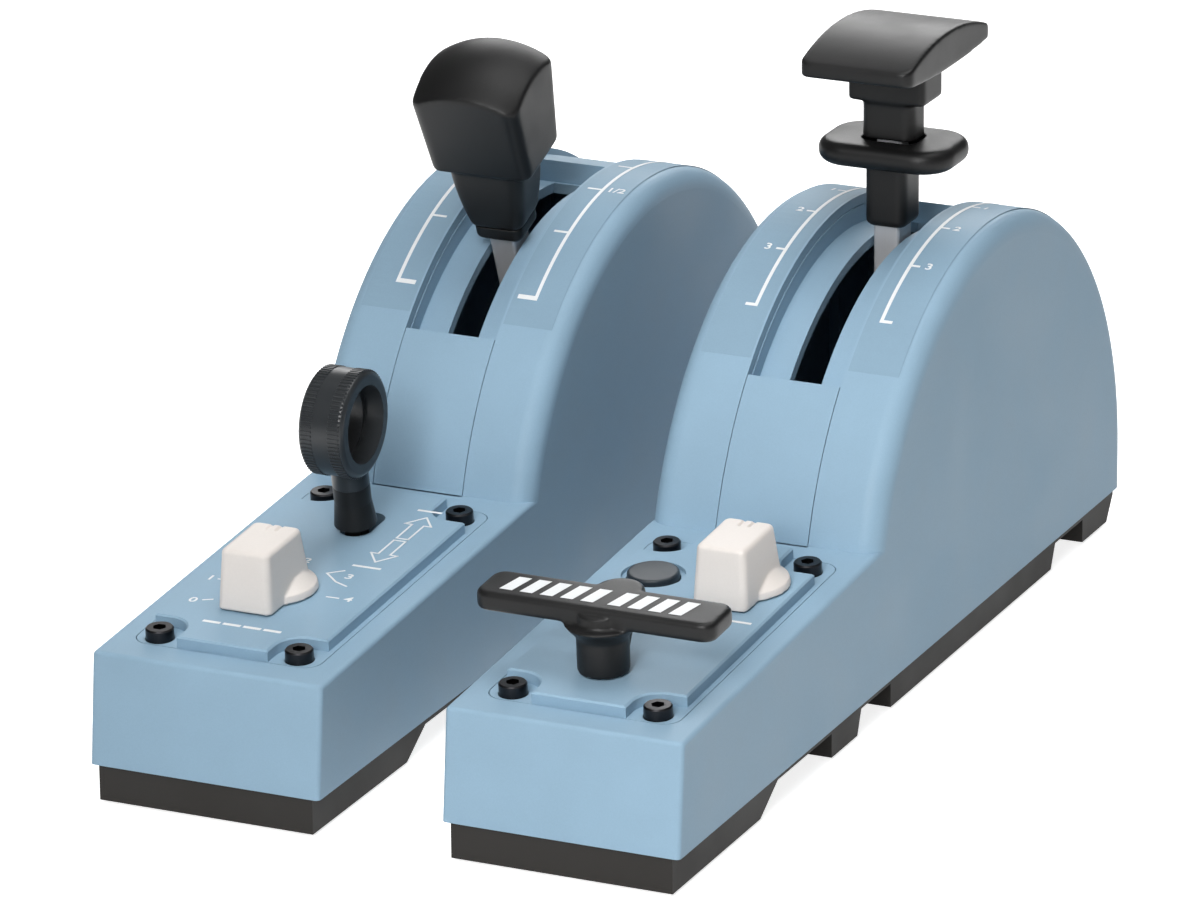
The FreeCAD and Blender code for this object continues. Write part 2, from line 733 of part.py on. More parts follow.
def detent_sector():
    """Notched quadrant plate, drawn about the dome axis and moved to the lever pivot."""
    plate = dome_sector(hub_radius + 0.6, detent_radius, flap_marks[0] - 10, flap_marks[-1] + 10,
                        detent_plate_x[0], detent_plate_x[1])
    window = dome_sector(24.0, detent_radius - 8.0, flap_marks[0] - 3, flap_marks[-1] + 3, 0, 30)
    plate = plate.cut(window)
    for mark in flap_marks:
        spot = dome_point(detent_radius + 1.2, mark)
        plate = plate.cut(rod_x(roller_radius + 0.3, 0, 30, spot.y, spot.z))
    plate.translate(V(0, pivot_y - dome_y, pivot_z - dome_z))
    return plate


def detent_roller():
    height = detent_radius + 0.3 + roller_radius
    roller = rod_x(roller_radius, detent_plate_x[0], detent_plate_x[1], 0, height)
    pin = rod_x(1.2, stem_half_width, detent_plate_x[1] + 0.6, 0, height)
    return on_lever(roller.fuse(pin).removeSplitter(), flap_rest)


# ---------------------------------------------------------------- gear lever
def at_gear(shape):
    """Upright shape about the gear pivot, leaned forward to the lever's rest place."""
    placed = shape.copy()
    placed.rotate(V(0, 0, 0), V(1, 0, 0), gear_lean)
    placed.translate(V(0, gear_pivot_y, gear_pivot_z))
    return placed


gear_pin_radius = 1.5
gear_eye_half = 3.0


def gear_knob():
    """Wheel-shaped knob: a wide ring with rounded rims and a ridge inside the bore."""
    ring = rod_x(gear_ring_radius, -gear_ring_half, gear_ring_half)
    ring = ring.makeFillet(1.6, [e for e in ring.Edges if e.Closed and e.BoundBox.XLength < 1e-4])
    bore = rod_x(gear_ring_bore, -10, 10)
    ridge = rod_x(gear_ring_bore + 0.1, -1.0, 1.0).cut(rod_x(gear_ring_bore - 1.2, -2, 2))
    ring = ring.cut(bore).fuse(ridge).removeSplitter()
    ring.translate(V(0, 0, gear_ring_height))
    seat = rod_z(4.7, 30.0, gear_ring_height - gear_ring_radius + 1.5)
    clear = rod_x(gear_ring_radius - 0.5, -20, 20, 0, gear_ring_height)
    return at_gear(ring.fuse(seat.cut(clear)).removeSplitter().cut(rod_z(2.5, 20, 35.0)))


def gear_stem():
    """Lever below the knob: flared shroud over the slot, blade and pivot eye."""
    shroud = Part.makeCone(5.4, 4.7, 6.2, V(0, 0, 19.0))
    upper = rod_z(4.7, 25.0, 29.9)
    peg = rod_z(2.45, 29.0, 34.5)
    blade = rounded_bar(2.4, 2.6, 0.0, 19.5, 1.0)
    eye = rod_x(4.2, -gear_eye_half, gear_eye_half)
    stem = fuse_all([shroud, upper, peg, blade, eye]).cut(rod_x(gear_pin_radius + run_gap, -10, 10))
    return at_gear(stem)


def gear_bracket():
    """Moulded clevis under the plate that carries the gear pivot pin."""
    ears = []
    for side in (-1, 1):
        x0, x1 = sorted((side * (gear_eye_half + 0.4), side * (gear_eye_half + 3.4)))
        ear = box(x0, x1, gear_pivot_y - 6, gear_pivot_y + 6, gear_pivot_z - 1, deck_z(gear_pivot_y) + 4)
        ear = ear.fuse(rod_x(6.0, x0, x1, gear_pivot_y, gear_pivot_z))
        f0, f1 = sorted((side * (gear_eye_half + 1.2), side * (gear_eye_half + 10.0)))
        level = deck_z(gear_pivot_y)
        foot = box(f0, f1, gear_pivot_y - 6, gear_pivot_y + 6, level - 5, level + 4)
        ears.append(ear.fuse(foot))
    ceiling = on_deck(box(-40, 40, 0, 130, block_under, 30))
    bridge = box(-gear_eye_half - 3.4, gear_eye_half + 3.4, gear_pivot_y - 6, gear_pivot_y + 6,
                 gear_pivot_z - 9.0, gear_pivot_z - 5.6)
    bracket = fuse_all(ears + [bridge]).cut(ceiling)
    return bracket.cut(rod_x(gear_pin_radius + 0.02, -20, 20, gear_pivot_y, gear_pivot_z))


def gear_pin():
    half = gear_eye_half + 3.4
    return rod_x(gear_pin_radius, -half, half, gear_pivot_y, gear_pivot_z)


# ---------------------------------------------------------------- rotary knobs
knob_skirt_radius = 11.25
knob_height = 15.2
knob_nose = 16.1
knob_tail = 7.4


def rotary_knob(x, s):
    """Bar grip that reaches out in front of a round skirt, with two pointer grooves on top."""
    low = block_rise + 0.35
    high = low + knob_height
    skirt = Part.makeCone(knob_skirt_radius, knob_skirt_radius - 0.4, 2.0, V(0, 0, low))
    rise = Part.makeCone(knob_skirt_radius - 0.6, 7.6, 2.4, V(0, 0, low + 1.9))
    grip = loft_sections([(7.3, (knob_nose + knob_tail) / 2, (knob_tail - knob_nose) / 2, low, 1.8),
                          (6.5, 9.4, -4.9, high, 1.8)])
    grip = grip.makeFillet(1.1, level_edges(grip, high))
    knob = fuse_all([skirt, rise, grip])
    for offset in (-1.3, 1.3):
        knob = knob.cut(box(offset - 0.4, offset + 0.4, 0.4, 8.0, high - 0.7, high + 1))
    knob = knob.cut(rod_z(knob_bore, low - 1, low + 9.0))
    knob.translate(V(x, s, 0))
    return on_deck(knob)


def knob_shaft(x, s):
    low = block_rise + 0.35
    return on_deck(rod_z(knob_bore, -6.0, low + 8.8, x, s))


def rotary_switch(x, s, radius, depth):
    body = rod_z(radius, block_under - depth, block_under, x, s)
    tabs = [box(x - radius - 1.5, x + radius + 1.5, s - 2.0, s + 2.0, block_under - 1.6, block_under)]
    pins = [rod_z(0.6, block_under - depth - 3.0, block_under - depth + 0.5, x + dx, s + dy)
            for dx in (-3.5, 0.0, 3.5) for dy in (-3.5, 3.5)]
    switch = fuse_all([body] + tabs + pins)
    bore = rod_z(knob_bore + run_gap, -6.3, 10, x, s)
    return on_deck(switch.cut(bore))


# ---------------------------------------------------------------- parking brake, button
park_shaft = 4.0
park_rise = 18.0
park_spindle_low = -12.0
park_switch_radius = 9.5


park_bar_shift = 2.7
park_bar_half = 31.3
park_bar_thick = 5.0


def park_handle():
    """T-shaped handle: flat bar with a thumb rest behind it, round stem and a gusset."""
    low = block_rise + 0.35
    top = block_rise + park_rise
    under = top - park_bar_thick
    bar = rounded_bar(park_bar_half, 7.3, under, top, 3.6, park_x - 0.6, park_s + park_bar_shift)
    bar = bar.makeFillet(1.2, level_edges(bar, top) + level_edges(bar, under))
    rest_y = park_s + 9.6
    rest = rod_z(6.2, under, top, -0.6, rest_y)
    rest = rest.makeFillet(1.2, level_edges(rest, top))
    shoulder = Part.makeCone(9.5, 6.3, park_bar_thick - 1.2, V(park_x, rest_y - 6.4, under), V(0, 0, 1))
    stem = rod_z(6.4, low, top - 2.0, park_x, park_s)
    flare = Part.makeCone(6.4, 9.5, 3.5, V(park_x, park_s, under - 3.4))
    slant = [(park_s, low + 1.0), (park_s + 5.6, low + 1.0), (park_s + 13.6, under + 1), (park_s, under + 1)]
    gusset = side_profile(slant, park_x - 4.0, park_x + 4.0)
    handle = fuse_all([bar, rest, shoulder, stem, flare, gusset])
    return on_deck(handle.cut(rod_z(park_shaft, low - 1, low + 9.0, park_x, park_s)))


def park_spindle():
    return on_deck(rod_z(park_shaft, park_spindle_low, block_rise + 9.2, park_x, park_s))


def park_switch():
    top = plate_bottom - pad_thick
    body = rod_z(park_switch_radius, top - 12.0, top, park_x, park_s)
    bore = rod_z(park_shaft + run_gap, park_spindle_low - 0.3, 10, park_x, park_s)
    return on_deck(body.cut(bore))


button_travel = 1.4
button_post = 2.0
button_head = 2.6
button_head_top = -4.0


def push_button():
    """Cap with a headed post that is held inside the switch."""
    top = block_rise + 1.0
    low = block_under + 0.3
    cap = rod_z(button_radius, low, top, button_x, button_s)
    cap = cap.makeFillet(0.5, level_edges(cap, top))
    post = rod_z(button_post, button_head_top, low + 0.1, button_x, button_s)
    head = rod_z(button_head, button_head_top - 0.5, button_head_top, button_x, button_s)
    return on_deck(fuse_all([cap, post, head]))


def button_switch():
    """Switch body on two legs under the plate, with the chamber for the post's head."""
    top = block_under - 1.5
    body = rod_z(button_radius, top - 11.0, top, button_x, button_s)
    flange = box(button_x - 2.5, button_x + 2.5, button_s - 8.7, button_s + 8.7, top - 2.5, top)
    legs = [box(button_x - 2.5, button_x + 2.5, min(a, b), max(a, b), top - 0.1, block_under)
            for a, b in ((button_s - 8.7, button_s - 6.9), (button_s + 6.9, button_s + 8.7))]
    chamber = rod_z(button_head + 0.3, button_head_top - 0.5 - button_travel - 0.3, button_head_top + 0.3,
                    button_x, button_s)
    hole = rod_z(button_post + 0.3, button_head_top, top + 1, button_x, button_s)
    return on_deck(fuse_all([body, flange] + legs).cut(chamber.fuse(hole)))


# ---------------------------------------------------------------- boards and sockets
def control_board():
    board = box(-board_half, board_half, 28.0, 94.0, board_height, board_height + board_thick)
    for x, y in board_points():
        board = board.cut(rod_z(1.15, board_height - 1, board_height + 3, x, y))
    chips = [box(-6.0, 4.0, 56.0, 66.0, board_height + 1.5, board_height + 2.8),
             box(10.0, 16.0, 60.0, 66.0, board_height + 1.5, board_height + 2.6),
             box(-18.0, -10.0, 48.0, 53.0, board_height + 1.5, board_height + 5.5)]
    return fuse_all([board] + chips)


def board_screws():
    screws = []
    top = board_height + board_thick
    for x, y in board_points():
        head = rod_z(1.9, top, top + 1.4, x, y)
        shank = rod_z(0.95, board_height - 4.0, top, x, y)
        screws.append(head.fuse(shank).removeSplitter())
    return Part.makeCompound(screws)


socket_half = 6.5
socket_z = (15.0, 26.0)
socket_depth = 13.0


def socket_window():
    return box(-socket_half - slip, socket_half + slip, module_length - 12, module_length + 5,
               socket_z[0] - slip, socket_z[1] + slip)


def rear_socket():
    """Modular socket for the link lead, let into the back wall."""
    y1 = module_length - 0.4
    y0 = y1 - socket_depth - 2.0
    body = box(-socket_half, socket_half, y0, y1, socket_z[0], socket_z[1])
    inside = module_length - wall
    ears = box(-socket_half - 4.0, socket_half + 4.0, inside - 2.2, inside - slip,
               socket_z[0], socket_z[1])
    mouth = box(-4.9, 4.9, y1 - socket_depth, y1 + 1, socket_z[0] + 2.2, socket_z[1] - 2.0)
    key = box(-1.6, 1.6, y1 - socket_depth, y1 + 1, socket_z[0] + 1.2, socket_z[0] + 2.4)
    return body.fuse(ears).removeSplitter().cut(mouth).cut(key)


# ---------------------------------------------------------------- the two modules
def shared_parts(end_angle):
    return {
        "housing": housing(socket_window()),
        "track_strip": track_strip(end_angle),
        "base_tray": base_tray(),
        "ballast_plate": ballast(),
        "pivot_frame": pivot_frame(),
        "shaft_bushes": shaft_bushes(),
        "pivot_shaft": pivot_shaft(),
        "retaining_rings": retaining_rings(),
        "friction_pad": friction_pad(),
        "shaft_magnet": shaft_magnet(),
        "sensor_board": sensor_board(),
        "sensor_posts": sensor_posts(),
        "control_board": control_board(),
        "rear_socket": rear_socket(),
    }


def fastener_sets():
    """Small parts that are the same in both modules, one node for each kind."""
    return {
        "plate_screws": plate_screws(),
        "base_screws": base_screws(),
        "frame_screws": frame_screws(),
        "board_screws": board_screws(),
        "foot_pads": foot_pads(),
        "link_inserts": link_inserts(),
    }


def left_parts():
    parts = {"left_" + name: shape for name, shape in shared_parts(left_track_end).items()}
    parts["left_control_plate"] = left_plate()
    parts["speed_brake_arm"] = lever_arm(brake_stem_top, brake_rest)
    parts["speed_brake_collar"] = speed_brake_collar()
    parts["speed_brake_knob"] = speed_brake_knob()
    parts["gear_knob"] = gear_knob()
    parts["gear_stem"] = gear_stem()
    parts["gear_bracket"] = gear_bracket()
    parts["gear_pin"] = gear_pin()
    parts["selector_knob"] = rotary_knob(selector_x, selector_s)
    parts["selector_shaft"] = knob_shaft(selector_x, selector_s)
    parts["selector_switch"] = rotary_switch(selector_x, selector_s, 10.0, 12.0)
    return parts


def right_parts():
    parts = {"right_" + name: shape for name, shape in shared_parts(right_track_end).items()}
    parts["right_control_plate"] = right_plate()
    parts["flap_arm"] = lever_arm(flap_stem_top, flap_rest)
    parts["flap_handle"] = flap_handle()
    parts["flap_collar"] = flap_collar()
    parts["flap_detent_sector"] = detent_sector()
    parts["flap_detent_roller"] = detent_roller()
    parts["trim_knob"] = rotary_knob(trim_x, trim_s)
    parts["trim_shaft"] = knob_shaft(trim_x, trim_s)
    parts["trim_encoder"] = rotary_switch(trim_x, trim_s, 7.0, 9.0)
    parts["park_brake_handle"] = park_handle()
    parts["park_brake_spindle"] = park_spindle()
    parts["park_brake_switch"] = park_switch()
    parts["push_button"] = push_button()
    parts["button_switch"] = button_switch()
    return parts


def set_in_place(shape, side):
    placed = shape.copy()
    placed.translate(V(side * module_pitch / 2, -module_length / 2, 0))
    return placed


def write_part(name, shape):
    shape.exportStep("parts/" + name + ".step")


def write_parts():
    os.makedirs("parts", exist_ok=True)
    for parts, side in ((left_parts(), -1), (right_parts(), 1)):
        for name, shape in parts.items():
            write_part(name, set_in_place(shape, side))
    for name, shape in fastener_sets().items():
        pair = [set_in_place(shape, -1), set_in_place(shape, 1)]
        write_part(name, Part.makeCompound([solid for half in pair for solid in half.Solids]))


write_parts()
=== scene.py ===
import math
from functools import partial
import bmesh
import bpy
from mathutils import Matrix, Vector


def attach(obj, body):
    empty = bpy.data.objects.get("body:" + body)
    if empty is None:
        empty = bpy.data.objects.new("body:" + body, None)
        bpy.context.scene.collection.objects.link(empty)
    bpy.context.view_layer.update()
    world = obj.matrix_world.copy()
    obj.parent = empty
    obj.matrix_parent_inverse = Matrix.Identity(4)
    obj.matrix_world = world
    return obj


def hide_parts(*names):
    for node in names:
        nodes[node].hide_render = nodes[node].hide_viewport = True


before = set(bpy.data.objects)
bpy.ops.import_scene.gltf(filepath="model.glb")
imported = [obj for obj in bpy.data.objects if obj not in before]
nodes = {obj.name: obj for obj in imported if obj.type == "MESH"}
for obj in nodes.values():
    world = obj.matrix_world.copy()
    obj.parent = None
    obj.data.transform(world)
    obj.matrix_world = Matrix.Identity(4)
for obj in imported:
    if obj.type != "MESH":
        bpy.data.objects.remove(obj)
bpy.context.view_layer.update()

sides = {"left": -1, "right": 1}
module_pitch = 0.0946
module_length = 0.2883


def in_module(side, x, y, z):
    """A place drawn in one module's own millimetres, as a place in the pair's frame."""
    middle = sides[side] * module_pitch / 2
    return Vector((middle + x / 1000, y / 1000 - module_length / 2, z / 1000))


# ------------------------------------------------------------------ moulded shells
# The housings, track strips and control plates are injection-moulded in blue-grey
# plastic with a fine spark-eroded grain, so that they look satin and a little cloudy.
def moulded_plastic(name, colour, roughness, grain=0.16, grain_size=2600.0, cloud=0.04,
                    specular=0.4):
    """Moulded plastic: fine grain in the surface, faint clouding and gloss that varies a little."""
    grain_depth = 0.00012
    gloss_swing = 0.06
    finish = bpy.data.materials.new(name)
    finish.use_nodes = True
    tree = finish.node_tree
    link = tree.links.new
    shader = tree.nodes["Principled BSDF"]
    shader.inputs["Specular IOR Level"].default_value = specular
    place = tree.nodes.new("ShaderNodeTexCoord")
    clouding = tree.nodes.new("ShaderNodeTexNoise")
    clouding.inputs["Scale"].default_value = 45.0
    clouding.inputs["Detail"].default_value = 4.0
    pores = tree.nodes.new("ShaderNodeTexNoise")
    pores.inputs["Scale"].default_value = grain_size
    pores.inputs["Detail"].default_value = 2.0
    blend = tree.nodes.new("ShaderNodeMix")
    blend.inputs["Factor"].default_value = 0.35
    tint = tree.nodes.new("ShaderNodeValToRGB")
    tint.color_ramp.elements[0].position = 0.36
    tint.color_ramp.elements[1].position = 0.64
    tint.color_ramp.elements[0].color = [c * (1 - cloud) for c in colour] + [1]
    tint.color_ramp.elements[1].color = [min(1.0, c * (1 + cloud)) for c in colour] + [1]
    relief = tree.nodes.new("ShaderNodeBump")
    relief.inputs["Strength"].default_value = grain
    relief.inputs["Distance"].default_value = grain_depth
    gloss = tree.nodes.new("ShaderNodeMapRange")
    gloss.inputs["From Min"].default_value = 0.3
    gloss.inputs["From Max"].default_value = 0.7
    gloss.inputs["To Min"].default_value = roughness - gloss_swing
    gloss.inputs["To Max"].default_value = roughness + gloss_swing
    link(place.outputs["Object"], clouding.inputs["Vector"])
    link(place.outputs["Object"], pores.inputs["Vector"])
    link(clouding.outputs["Fac"], blend.inputs["A"])
    link(pores.outputs["Fac"], blend.inputs["B"])
    link(blend.outputs["Result"], tint.inputs["Fac"])
    link(tint.outputs["Color"], shader.inputs["Base Color"])
    link(clouding.outputs["Fac"], gloss.inputs["Value"])
    link(gloss.outputs["Result"], shader.inputs["Roughness"])
    link(pores.outputs["Fac"], relief.inputs["Height"])
    link(relief.outputs["Normal"], shader.inputs["Normal"])
    return finish


def dress(name, finish):
    """Gives a piece its finish."""
    piece = nodes[name]
    piece.data.materials.clear()
    piece.data.materials.append(finish)


blue_grey = moulded_plastic("blue_grey_shell", (0.268, 0.405, 0.522), 0.5, specular=0.24)
for side in sides:
    for piece in ("housing", "track_strip", "control_plate"):
        dress(side + "_" + piece, blue_grey)

# ------------------------------------------------------------------ base trays and feet
# Each module stands on a near-black moulded tray with rubber pads under it. The trays
# are held by screws from below; the ballast plates lie inside.
tray_black = moulded_plastic("tray_black", (0.023, 0.021, 0.019), 0.6, grain=0.2, specular=0.25)
pad_rubber = moulded_plastic("pad_rubber", (0.018, 0.018, 0.018), 0.85, grain=0.3)
for side in sides:
    dress(side + "_base_tray", tray_black)
dress("foot_pads", pad_rubber)


# ------------------------------------------------------------------ metal parts
# Steel, zinc and brass pieces: the lever arms, pivot frames, shafts and fasteners, drawn
# or turned and left bare, except for the black screws.
def drawn_metal(name, colour, roughness, brush=(1.0, 1.0, 1.0), streak=0.1, metallic=1.0):
    """Metal with fine streaks along one way."""
    gloss_swing = 0.08
    smoothest = 0.05
    finish = bpy.data.materials.new(name)
    finish.use_nodes = True
    tree = finish.node_tree
    link = tree.links.new
    shader = tree.nodes["Principled BSDF"]
    shader.inputs["Metallic"].default_value = metallic
    place = tree.nodes.new("ShaderNodeTexCoord")
    stretch = tree.nodes.new("ShaderNodeMapping")
    stretch.inputs["Scale"].default_value = brush
    streaks = tree.nodes.new("ShaderNodeTexNoise")
    streaks.inputs["Scale"].default_value = 900.0
    streaks.inputs["Detail"].default_value = 3.0
    tint = tree.nodes.new("ShaderNodeValToRGB")
    tint.color_ramp.elements[0].color = [c * (1 - streak) for c in colour] + [1]
    tint.color_ramp.elements[1].color = [min(1.0, c * (1 + streak)) for c in colour] + [1]
    gloss = tree.nodes.new("ShaderNodeMapRange")
    gloss.inputs["To Min"].default_value = max(smoothest, roughness - gloss_swing)
    gloss.inputs["To Max"].default_value = roughness + gloss_swing
    link(place.outputs["Object"], stretch.inputs["Vector"])
    link(stretch.outputs["Vector"], streaks.inputs["Vector"])
    link(streaks.outputs["Fac"], tint.inputs["Fac"])
    link(tint.outputs["Color"], shader.inputs["Base Color"])
    link(streaks.outputs["Fac"], gloss.inputs["Value"])
    link(gloss.outputs["Result"], shader.inputs["Roughness"])
    return finish


bright_zinc = drawn_metal("bright_zinc", (0.50, 0.51, 0.53), 0.42, brush=(1.0, 1.0, 0.05), streak=0.06,
                          metallic=0.45)
plain_steel = drawn_metal("plain_steel", (0.48, 0.48, 0.48), 0.38)
black_steel = drawn_metal("black_oxide", (0.035, 0.035, 0.038), 0.35)
insert_brass = drawn_metal("insert_brass", (0.60, 0.42, 0.17), 0.3)
for name in ("speed_brake_arm", "flap_arm"):
    dress(name, bright_zinc)
for name in ("gear_pin", "selector_shaft", "trim_shaft", "park_brake_spindle",
             "flap_detent_sector", "frame_screws", "board_screws"):
    dress(name, plain_steel)
for side in sides:
    for piece in ("ballast_plate", "pivot_frame", "pivot_shaft", "retaining_rings", "shaft_magnet"):
        dress(side + "_" + piece, plain_steel)
for name in ("plate_screws", "base_screws"):
    dress(name, black_steel)
dress("link_inserts", insert_brass)

# ------------------------------------------------------------------ small inner parts
# Boards, bushes, posts, pads and switches inside the shells. Most are bought parts, which
# are screwed, clipped or pressed into place.
board_green = moulded_plastic("board_green", (0.02, 0.09, 0.04), 0.3, grain=0.05)
white_nylon = moulded_plastic("white_nylon", (0.72, 0.71, 0.66), 0.5, grain=0.1)
grey_felt = moulded_plastic("grey_felt", (0.05, 0.05, 0.048), 0.9, grain=0.6, grain_size=900.0)
switch_black = moulded_plastic("switch_black", (0.02, 0.02, 0.021), 0.45, grain=0.15)
for side in sides:
    dress(side + "_sensor_board", board_green)
    dress(side + "_control_board", board_green)
    dress(side + "_shaft_bushes", white_nylon)
    dress(side + "_sensor_posts", white_nylon)
    dress(side + "_friction_pad", grey_felt)
    dress(side + "_rear_socket", switch_black)
dress("flap_detent_roller", white_nylon)
for name in ("gear_bracket", "selector_switch", "trim_encoder", "park_brake_switch", "button_switch"):
    dress(name, switch_black)


# ------------------------------------------------------------------ black grips
# The speed brake grip, the flap lever's palm grip and lift ring, the sleeves and the
# parking brake bar are black moulded pieces, whose edges are all softly rounded.
def in_scene(name, data):
    """A new object with that name and data, put into the scene."""
    thing = bpy.data.objects.new(name, data)
    bpy.context.scene.collection.objects.link(thing)
    return thing


def plain_copy(thing):
    """The object's shape with its modifiers worked in, and the object taken away."""
    worked_in = thing.evaluated_get(bpy.context.evaluated_depsgraph_get())
    shape = bpy.data.meshes.new_from_object(worked_in)
    bpy.data.objects.remove(thing)
    return shape


def softened(name, body, finish, mesh_size, passes, stays_sharp=lambda place: False):
    """The piece with its edges worn round: its skin remade in small faces and smoothed."""
    same_place = 2e-6
    skin = nodes[name].data.copy()
    work = bmesh.new()
    work.from_mesh(skin)
    bmesh.ops.remove_doubles(work, verts=work.verts, dist=same_place)
    work.to_mesh(skin)
    work.free()
    rough = in_scene(name + "_rough", skin)
    remade = rough.modifiers.new("skin", "REMESH")
    remade.mode = "VOXEL"
    remade.voxel_size = mesh_size
    fine = in_scene(name + "_fine", plain_copy(rough))
    soft_part = fine.vertex_groups.new(name="soft")
    soft_part.add([v.index for v in fine.data.vertices if not stays_sharp(v.co)], 1.0, "REPLACE")
    worn = fine.modifiers.new("worn", "SMOOTH")
    worn.factor = 0.5
    worn.iterations = passes
    worn.vertex_group = "soft"
    shape = plain_copy(fine)
    shape.name = name + "_soft"
    shape.materials.clear()
    shape.materials.append(finish)
    for face in shape.polygons:
        face.use_smooth = True
    piece = in_scene(name + "_soft", shape)
    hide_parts(name)
    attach(piece, body)


grip_black = moulded_plastic("grip_black", (0.008, 0.008, 0.0082), 0.42, grain=0.2, grain_size=3200.0,
                             cloud=0.08, specular=0.3)
lever_pivot_y = 203.2
lever_pivot_z = 23.2
ring_top_reach = 103.0
flap_ring_top = in_module("right", 0, lever_pivot_y, lever_pivot_z + ring_top_reach)
sharp_stem_length = 0.002
well_half_width = 0.0085
well_half_length = 0.0072
well_depth = 0.006


def at_stem_foot(place):
    """The lower end of the upper stem, which dips into the ring's well."""
    return place.z < flap_ring_top.z + sharp_stem_length


def at_ring_well(place):
    """The well in the middle of the ring, round the stem."""
    across = abs(place.x - flap_ring_top.x) < well_half_width
    along = abs(place.y - flap_ring_top.y) < well_half_length
    return across and along and place.z > flap_ring_top.z - well_depth


softened("speed_brake_knob", "speed_brake_grip", grip_black,
         mesh_size=0.00036, passes=40)
softened("flap_handle", "flap_lever", grip_black,
         mesh_size=0.00036, passes=30, stays_sharp=at_stem_foot)
softened("flap_collar", "flap_lift_ring", grip_black,
         mesh_size=0.00036, passes=20, stays_sharp=at_ring_well)
softened("speed_brake_collar", "speed_brake_lever", grip_black,
         mesh_size=0.0003, passes=12)
softened("park_brake_handle", "park_brake", grip_black,
         mesh_size=0.00036, passes=22)

# ------------------------------------------------------------------ rotary knobs and button
# The brake selector and the trim knob are off-white bar knobs on round skirts. The push
# button is a dark disc with a rounded edge. All are small mouldings, so little is worn off.
knob_white = moulded_plastic("knob_white", (0.74, 0.69, 0.65), 0.42, grain=0.1, grain_size=1800.0,
                             cloud=0.02)
button_dark = moulded_plastic("button_dark", (0.022, 0.03, 0.038), 0.35, grain=0.1)
softened("selector_knob", "brake_selector", knob_white,
         mesh_size=0.00028, passes=9)
softened("trim_knob", "trim", knob_white,
         mesh_size=0.00028, passes=9)
softened("push_button", "button", button_dark,
         mesh_size=0.00022, passes=6)

# ------------------------------------------------------------------ gear wheel knob
# A wheel-shaped black knob on a flared stem. Two bands of fine knurling run round its
# tread, each rolled as a row of small ribs across the rim.
gear_black = moulded_plastic("gear_black", (0.022, 0.025, 0.028), 0.33, grain=0.12, grain_size=3200.0,
                             cloud=0.08, specular=0.5)
dress("gear_knob", gear_black)
dress("gear_stem", grip_black)


def knurl_tree():
    """Small ribs set round a circle, turned square to it."""
    tree = bpy.data.node_groups.new("knurled_band", "GeometryNodeTree")
    face = tree.interface
    face.new_socket("Geometry", in_out="OUTPUT", socket_type="NodeSocketGeometry")
    asked = {"Radius": "NodeSocketFloat", "Count": "NodeSocketInt", "Band width": "NodeSocketFloat",
             "Rib": "NodeSocketFloat", "Finish": "NodeSocketMaterial"}
    for label, kind in asked.items():
        face.new_socket(label, in_out="INPUT", socket_type=kind)
    given = tree.nodes.new("NodeGroupInput")
    ring = tree.nodes.new("GeometryNodeMeshCircle")
    rib = tree.nodes.new("GeometryNodeMeshCube")
    size = tree.nodes.new("ShaderNodeCombineXYZ")
    place = tree.nodes.new("GeometryNodeInstanceOnPoints")
    outward = tree.nodes.new("FunctionNodeAlignEulerToVector")
    outward.axis = "X"
    where = tree.nodes.new("GeometryNodeInputPosition")
    real = tree.nodes.new("GeometryNodeRealizeInstances")
    coat = tree.nodes.new("GeometryNodeSetMaterial")
    result = tree.nodes.new("NodeGroupOutput")
    link = tree.links.new
    link(given.outputs["Radius"], ring.inputs["Radius"])
    link(given.outputs["Count"], ring.inputs["Vertices"])
    link(given.outputs["Rib"], size.inputs["X"])
    link(given.outputs["Rib"], size.inputs["Y"])
    link(given.outputs["Band width"], size.inputs["Z"])
    link(size.outputs["Vector"], rib.inputs["Size"])
    link(ring.outputs["Mesh"], place.inputs["Points"])
    link(rib.outputs["Mesh"], place.inputs["Instance"])
    link(where.outputs["Position"], outward.inputs["Vector"])
    link(outward.outputs["Rotation"], place.inputs["Rotation"])
    link(place.outputs["Instances"], real.inputs["Geometry"])
    link(real.outputs["Geometry"], coat.inputs["Geometry"])
    link(given.outputs["Finish"], coat.inputs["Material"])
    link(coat.outputs["Geometry"], result.inputs["Geometry"])
    return tree


gear_pivot = in_module("left", 0.0, 88.0, 30.0)
gear_lean = math.radians(11.2)
wheel_height = 0.0476
up_lever = Vector((0, -wheel_height * math.sin(gear_lean), wheel_height * math.cos(gear_lean)))
wheel_centre = gear_pivot + up_lever
band_offset = 0.00375
rib_bevel = 0.0001
band_sizes = {"Radius": 0.01342, "Count": 76, "Band width": 0.0031, "Rib": 0.00058, "Finish": gear_black}
band_tree = knurl_tree()
holder = in_scene("band_holder", bpy.data.meshes.new("band_holder"))
band = holder.modifiers.new("band", "NODES")
band.node_group = band_tree
for socket in band_tree.interface.items_tree:
    if socket.in_out == "INPUT":
        band[socket.identifier] = band_sizes[socket.name]
ribs = plain_copy(holder)
across_module = Matrix.Rotation(math.pi / 2, 4, "Y")
knurling = bmesh.new()
for offset in (-band_offset, band_offset):
    row = ribs.copy()
    row.transform(Matrix.Translation(wheel_centre + Vector((offset, 0, 0))) @ across_module)
    knurling.from_mesh(row)
bmesh.ops.bevel(knurling, geom=list(knurling.edges), offset=rib_bevel, segments=1, affect="EDGES")
knurl_mesh = bpy.data.meshes.new("gear_knurling")
knurling.to_mesh(knurl_mesh)
knurling.free()
knurl_mesh.materials.append(gear_black)
gear_knurling = in_scene("gear_knurling", knurl_mesh)
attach(gear_knurling, "gear_lever")


